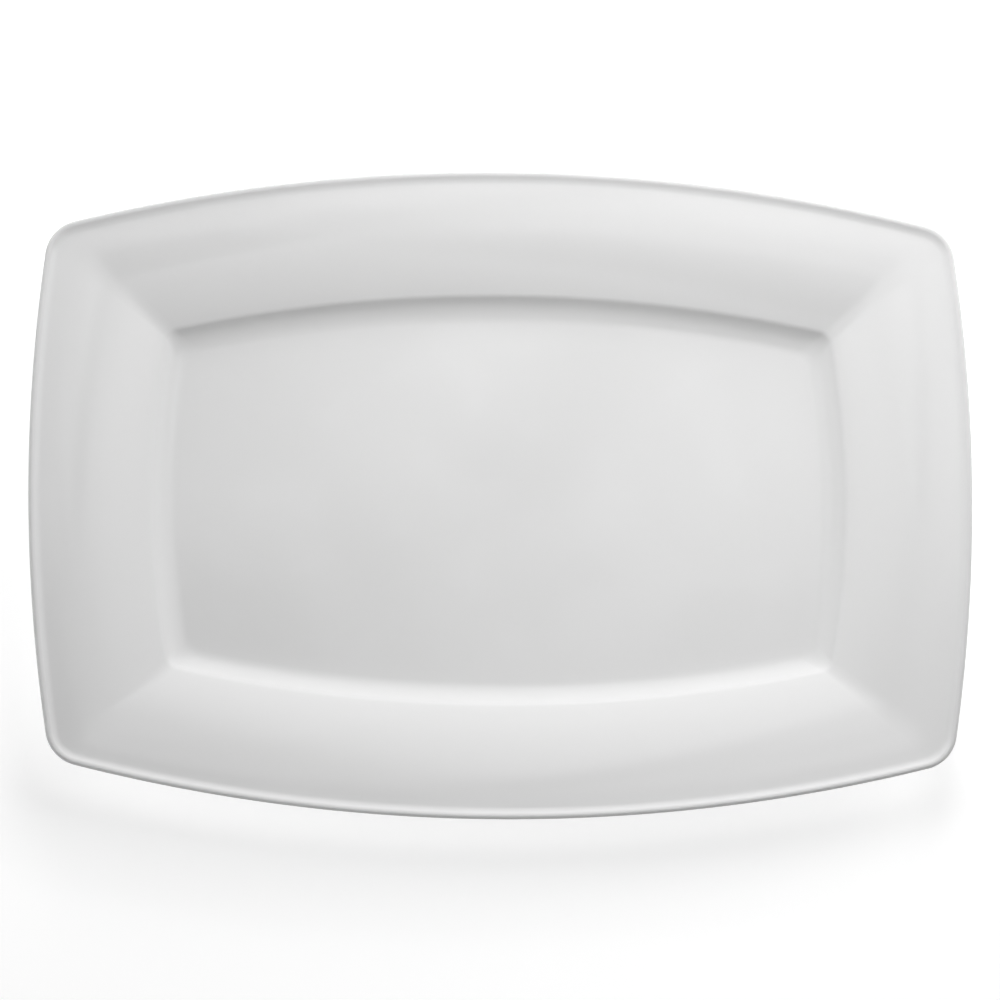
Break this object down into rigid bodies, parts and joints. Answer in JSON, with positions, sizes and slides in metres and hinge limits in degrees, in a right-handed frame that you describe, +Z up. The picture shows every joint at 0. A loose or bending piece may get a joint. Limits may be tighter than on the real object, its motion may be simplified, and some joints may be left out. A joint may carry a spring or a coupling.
{
  "type": "serving platter",
  "caption": "Oblong porcelain serving platter with bowed sides, a sunken flat well, a wide sloping rim mitred at the corners, an upturned lip and a foot ring.",
  "frame": {"origin": "under the middle of the platter, on the surface that its foot ring stands on", "axes": "+Z up out of the well, +X along the platter's length, +Y across it"},
  "size_m": [0.33, 0.2304, 0.0241],
  "materials": {
    "biscuit": "bare fired porcelain, smooth and matte",
    "glaze": "clear high-gloss glaze over white porcelain"
  },
  "bodies": {
    "root": {"porcelain_body": "biscuit", "outer_glaze": "glaze", "base_glaze": "glaze"}
  },
  "joints": []
}
